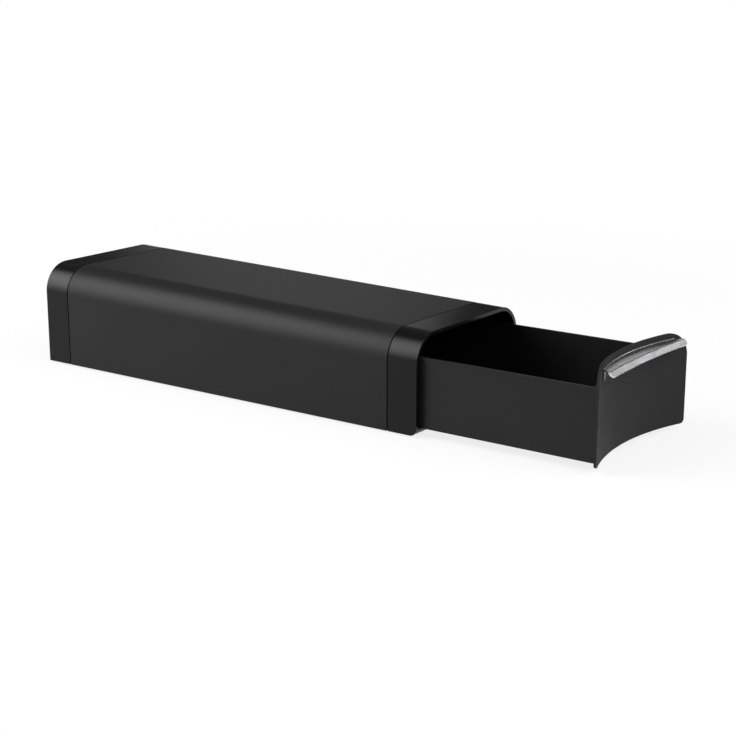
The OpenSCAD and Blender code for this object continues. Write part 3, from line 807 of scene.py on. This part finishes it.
drawer_tub = from_solid("drawer_tub", "drawer_tub_box")
ease_edges(drawer_tub, 0.00015)
tub_satin = satin_moulding("tub_satin", (0.0098, 0.0098, 0.0101), 0.40, level=0.20)
stand_in(drawer_tub, tub_satin, "drawer", "drawer_tub")


# ---------------------------------------------------------------- front panel
# A thin concave panel in satin black plastic with large upper corners. Bosses
# on its back stand in holes in the tub's front wall.
front_panel = from_solid("front_panel", "front_panel_face")
ease_edges(front_panel, 0.00025)
panel_satin = satin_moulding("panel_satin", (0.0150, 0.0150, 0.0153), 0.68, level=0.175)
stand_in(front_panel, panel_satin, "drawer", "front_panel")


# ---------------------------------------------------------------- panel screws
# Four washer-head screws, driven from inside the tub into the panel's bosses,
# two on each side of the curve.
low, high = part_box("front_panel")
panel_half, panel_sag, panel_sheet, tub_wall = high[0], 0.0115, 0.0018, 0.0016
panel_radius = (panel_half ** 2 + panel_sag ** 2) / (2 * panel_sag)
arc_centre = low[1] + panel_sag - panel_radius


def on_curve(radius, angle, height):
    """A seat on an upright cylinder around the panel's centre, facing backwards."""
    way = (math.sin(angle), math.cos(angle), 0)
    return ((radius * way[0], arc_centre + radius * way[1], height), way)


low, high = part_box("panel_screws")
boss_spread, washer_radius = 0.080, 0.0044
panel_angle = math.asin(boss_spread / 2 / (panel_radius + panel_sheet))
seats = [
    on_curve(panel_radius + panel_sheet + tub_wall, side * panel_angle, height)
    for side in (-1, 1)
    for height in (low[2] + washer_radius, high[2] - washer_radius)
]
tree = pan_head_screw("panel_screw", washer_radius, screw_rise, length=0.0022)
panel_screws = make_up("panel_screw_set", tree, seats, screw_black)
place_set(panel_screws, "drawer", "panel_screws")


# ---------------------------------------------------------------- handle
# A pull of aluminium, brushed along its length: a flange against the panel, its
# front under the web painted black as painted shade, a flat web with a fine
# ledge behind, and a lip that leans out.
def bent_strip(name):
    """A tree that bends a grid of rows and columns into the pull, outside and inside."""
    columns, weld_distance = 121, 2e-6
    tree, source, size = begin_tree(name, {
        "Panel Radius": panel_radius,
        "Panel Centre": arc_centre,
        "Web Depth": 0.0109,
        "Lip Radius": 0.62276,
        "Flange Half": 0.0482,
        "Lip Half": 0.0523,
        "Foot Height": 0.0562,
        "Web Height": 0.0631,
        "Ledge Height": 0.0635,
        "Flange Sheet": 0.0011,
        "Sheet": 0.0012,
        "Bend": 0.0014,
        "Lip Turn": math.radians(42.5),
        "Lip Length": 0.0044,
        "Corner": 0.0034,
    })
    web_height, sheet, bend, lip_turn = (
        size[key] for key in ("Web Height", "Sheet", "Bend", "Lip Turn")
    )
    flange_half, lip_half, foot, ledge = (
        size[key] for key in ("Flange Half", "Lip Half", "Foot Height", "Ledge Height")
    )
    tangent = bend * (lip_turn / 2).using("TANGENT")
    straight = size["Lip Length"] - tangent
    web_under = web_height - sheet
    back = -size["Flange Sheet"]
    panel_gap, ledge_edge, ledge_depth, under_step = 0.00002, 0.0006, 0.0009, 0.0001

    # each row: half length, share of the way to the lip, outside and inside (depth, height)
    rows = [
        (flange_half, 0.0, (-panel_gap, foot), (back, foot)),
        (flange_half, 0.0, (-panel_gap, ledge), (back, web_under)),
        (flange_half, 0.0, (-ledge_edge, ledge), (back - under_step, web_under)),
        (flange_half, 0.0, (-ledge_depth, web_height), (back - under_step * 2, web_under)),
    ]
    for share in (0.25, 0.5, 0.75):
        rows.append((
            flange_half + (lip_half - flange_half) * share, share,
            (tangent * share - ledge_depth * (1 - share), web_height),
            (tangent * share + (back - under_step * 2) * (1 - share), web_under),
        ))

    def past_bend(turn, run):
        """Outside and inside of the lip's profile after that turn and straight run."""
        sides = []
        for radius in (bend, bend - sheet):
            sides.append((
                tangent - radius * turn.using("SINE") - run * lip_turn.using("COSINE"),
                web_height - bend + radius * turn.using("COSINE")
                - run * lip_turn.using("SINE"),
            ))
        return sides

    bend_steps, corner_steps = 4, 5
    for part in range(bend_steps + 1):
        rows.append((lip_half, 1.0, *past_bend(lip_turn * (part / bend_steps), straight * 0)))
    for part in range(corner_steps + 1):
        angle = math.radians(90 / corner_steps * part)
        rows.append((
            lip_half - size["Corner"] * (1 - math.cos(angle)), 1.0,
            *past_bend(lip_turn, straight - size["Corner"] * (1 - math.sin(angle))),
        ))

    grid = add_node(tree, "GeometryNodeMeshGrid", {
        "Size X": 2,
        "Size Y": len(rows) - 1,
        "Vertices X": columns,
        "Vertices Y": len(rows),
    })
    where = add_node(tree, "GeometryNodeInputPosition")
    keep = tree.nodes.new("GeometryNodeCaptureAttribute")
    keep.capture_items.new("VECTOR", "grid place")
    feed(keep.inputs[0], grid.outputs[0])
    feed(keep.inputs[1], where.outputs[0])
    split = add_node(tree, "ShaderNodeSeparateXYZ", {0: keep.outputs[1]})
    across = Measure(split.outputs[0])
    row = (Measure(split.outputs[1]) + (len(rows) - 1) / 2).using("ROUND")

    def by_row(values):
        """The value that belongs to each row."""
        return Measure(pick_by_index(tree, "FLOAT", row, values))

    halves, shares, outer, inner = zip(*rows)
    share = by_row(shares)
    x = across * by_row(halves)
    panel_arc = size["Panel Centre"] + (
        size["Panel Radius"] * size["Panel Radius"] - x * x
    ).using("SQRT")
    lip_arc = size["Panel Centre"] + size["Panel Radius"] - size["Web Depth"] - (
        size["Lip Radius"]
        - (size["Lip Radius"] * size["Lip Radius"] - x * x).using("SQRT")
    )
    line = panel_arc + (lip_arc - panel_arc) * share
    outside_place, inside_place = (
        add_node(tree, "ShaderNodeCombineXYZ", {
            0: x,
            1: line + by_row([depth for depth, height in profile]),
            2: by_row([height for depth, height in profile]),
        }).outputs[0]
        for profile in (outer, inner)
    )
    outside = add_node(tree, "GeometryNodeSetPosition", {
        0: keep.outputs[0],
        "Position": outside_place,
    })
    thicken = add_node(tree, "GeometryNodeExtrudeMesh", {
        "Mesh": outside.outputs[0],
        "Individual": False,
        "Offset Scale": 0.0001,
    })
    inside = add_node(tree, "GeometryNodeSetPosition", {
        0: thicken.outputs["Mesh"],
        "Selection": thicken.outputs["Top"],
        "Position": inside_place,
    })
    both = tree.nodes.new("GeometryNodeJoinGeometry")
    feed(both.inputs[0], outside.outputs[0])
    feed(both.inputs[0], inside.outputs[0])
    weld = add_node(tree, "GeometryNodeMergeByDistance", {
        0: both.outputs[0],
        "Distance": weld_distance,
    })
    end_tree(tree, source, weld.outputs[0])
    return tree


def brushed_metal(name, shade_half, shade_front, shade_top):
    """Aluminium brushed along X: fine lines in gloss and height, and painted shade on the flange.
    """
    finish, tree, shader = begin_finish(name, (0.66, 0.66, 0.67), 0.3)
    feed(shader.inputs["Anisotropic"], 0.8)
    across = add_node(tree, "ShaderNodeCombineXYZ", {"Y": 0.9, "Z": 0.44})
    feed(shader.inputs["Tangent"], across.outputs[0])
    lines = speckle(tree, 0.00022, 3, (0.012, 1, 1))
    long_lines = speckle(tree, 0.0009, 4, (0.02, 1, 1))
    smudge = speckle(tree, 0.012, 3)
    rubbed = rubbed_edges(tree, 0.0005, 0.002)
    tone = blend_tones(tree, long_lines, (0.56, 0.56, 0.57), (0.74, 0.74, 0.75))
    bare = blend_tones(tree, rubbed, tone, (0.86, 0.86, 0.87))
    place = add_node(tree, "ShaderNodeTexCoord")
    split = add_node(tree, "ShaderNodeSeparateXYZ", {0: place.outputs["Object"]})
    x, y, z = (Measure(split.outputs[axis]) for axis in range(3))
    # painted shade: the flange's front under the web is black, rough and not metal, for the shadow
    # there
    painted_shade = (
        (-x.using("ABSOLUTE") + shade_half).using("GREATER_THAN", 0.0)
        * (y - shade_front).using("GREATER_THAN", 0.0)
        * (-z + shade_top).using("GREATER_THAN", 0.0)
    )
    feed(shader.inputs["Base Color"], blend_tones(tree, painted_shade, bare, (0.006, 0.006, 0.006)))
    feed(shader.inputs["Metallic"], -painted_shade + 1)
    dull = between(lines, 0.17, 0.31) + between(smudge, -0.02, 0.05) + painted_shade * 0.6
    feed(shader.inputs["Roughness"], dull)
    raise_grain(tree, shader, [(lines, 0.0000035), (long_lines, 0.000004)])
    return finish


# the box on the flange's front where shade under the web is painted black
handle_brushed = brushed_metal(
    "handle_brushed", shade_half=0.0455, shade_front=-0.2305, shade_top=0.0617
)
handle = make_up(
    "handle_strip", bent_strip("handle_strip"), [((0, 0, 0), (0, 0, 1))], handle_brushed
)
ease_edges(handle, 0.0002, steps=2, sharp=50)
place_set(handle, "drawer", "handle")


# ---------------------------------------------------------------- handle screws
# Three short pan-head screws behind the panel, under the tub's front wall,
# that thread into the handle's flange.
low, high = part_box("handle_screws")
hole_spread = 0.036
handle_angle = math.asin(hole_spread / panel_radius)
seats = [
    on_curve(panel_radius + panel_sheet, side * handle_angle, (low[2] + high[2]) / 2)
    for side in (-1, 0, 1)
]
tree = pan_head_screw("handle_screw", screw_head, screw_rise, length=0.0029)
handle_screws = make_up("handle_screw_set", tree, seats, screw_black)
place_set(handle_screws, "drawer", "handle_screws")


# ---------------------------------------------------------------- catch
# An upright tab of zinc-plated steel on the back of the tub, which stands
# above the rim and meets the drawer stop.
stop_catch = from_solid("stop_catch", "stop_catch_tab")
ease_edges(stop_catch, 0.0003)
stand_in(stop_catch, zinc, "drawer", "stop_catch")


# ---------------------------------------------------------------- catch rivets
# Two aluminium rivets with domed heads on both sides, set through the catch
# and the tub's back wall.
def turned_aluminium(name):
    """Plain aluminium, a little cloudy, with dents from the setting tool."""
    finish, tree, shader = begin_finish(name, (0.6, 0.6, 0.61), 0.36)
    feed(shader.inputs["Metallic"], 1)
    dents = speckle(tree, 0.0011)
    tone = blend_tones(tree, dents, (0.50, 0.50, 0.51), (0.70, 0.70, 0.71))
    feed(shader.inputs["Base Color"], tone)
    feed(shader.inputs["Roughness"], between(speckle(tree, 0.0005, 3), 0.28, 0.46))
    raise_grain(tree, shader, [(dents, 0.00002)])
    return finish


low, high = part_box("catch_rivets")
rivet_head, rivet_dome = 0.0028, 0.0009
tree, source, size = begin_tree("catch_rivet", {
    "Head Radius": rivet_head,
    "Dome": rivet_dome,
    "Shank Radius": 0.0015,
    "Grip": high[1] - low[1] - 2 * rivet_dome,
})
body = turned(tree, [
    (0, size["Dome"]),
    (size["Head Radius"] * 0.55, size["Dome"] * 0.88),
    (size["Head Radius"], size["Dome"] * 0.2),
    (size["Head Radius"], 0),
    (size["Shank Radius"], 0),
    (size["Shank Radius"], -size["Grip"]),
    (size["Head Radius"], -size["Grip"]),
    (size["Head Radius"], -size["Grip"] - size["Dome"] * 0.2),
    (size["Head Radius"] * 0.55, -size["Grip"] - size["Dome"] * 0.88),
    (0, -size["Grip"] - size["Dome"]),
], 0.0003)
end_tree(tree, source, stand_on_seats(tree, source, body))
seats = both_sides(
    high[0] - rivet_head, [(high[1] - rivet_dome, (low[2] + high[2]) / 2)], (0, 1, 0)
)
catch_rivets = make_up("catch_rivet_pair", tree, seats, turned_aluminium("rivet_metal"))
place_set(catch_rivets, "drawer", "catch_rivets")


# ---------------------------------------------------------------- pod tray
# A low tray in textured black plastic on the tub's floor: a flat deck on a
# skirt, with a round cell below each pod.
pod_tray = from_solid("pod_tray", "pod_tray_deck")
ease_edges(pod_tray, 0.0003)
tray_texture = textured_moulding(
    "tray_texture", (0.0085, 0.0085, 0.0088), 0.55, cell=0.0011, depth=0.00004
)
stand_in(pod_tray, tray_texture, "drawer", "pod_tray")


# ---------------------------------------------------------------- seat rings
# Twelve soft rubber rings bonded to the deck in two columns, each with a
# rounded rib that keeps a pod's rim from sliding.
low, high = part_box("seat_rings")
ring_inner, ring_width, ring_rows = 0.0195, 0.0014, 6
ring_outer = ring_inner + ring_width
tree, source, size = begin_tree("seat_ring", {
    "Middle Radius": ring_inner + ring_width / 2,
    "Width": ring_width,
    "Height": high[2] - low[2],
    "Round": 0.00055,
})
path = add_node(tree, "GeometryNodeCurvePrimitiveCircle", {
    "Resolution": 72,
    "Radius": size["Middle Radius"],
})
section = add_node(tree, "GeometryNodeCurvePrimitiveQuadrilateral", {
    "Width": size["Width"],
    "Height": size["Height"],
})
rib = add_node(tree, "GeometryNodeCurveToMesh", {
    0: path.outputs[0],
    1: round_corners(tree, section.outputs[0], size["Round"]),
})
end_tree(tree, source, stand_on_seats(tree, source, rib.outputs[0]))
first_row, last_row = low[1] + ring_outer, high[1] - ring_outer
places = [
    (first_row + (last_row - first_row) * row / (ring_rows - 1), (low[2] + high[2]) / 2)
    for row in range(ring_rows)
]
seats = both_sides(high[0] - ring_outer, places, (0, 0, 1))
ring_rubber = moulded_rubber("ring_rubber_grey", (0.03, 0.03, 0.031))
seat_rings = make_up("seat_ring_set", tree, seats, ring_rubber)
place_set(seat_rings, "drawer", "seat_rings")
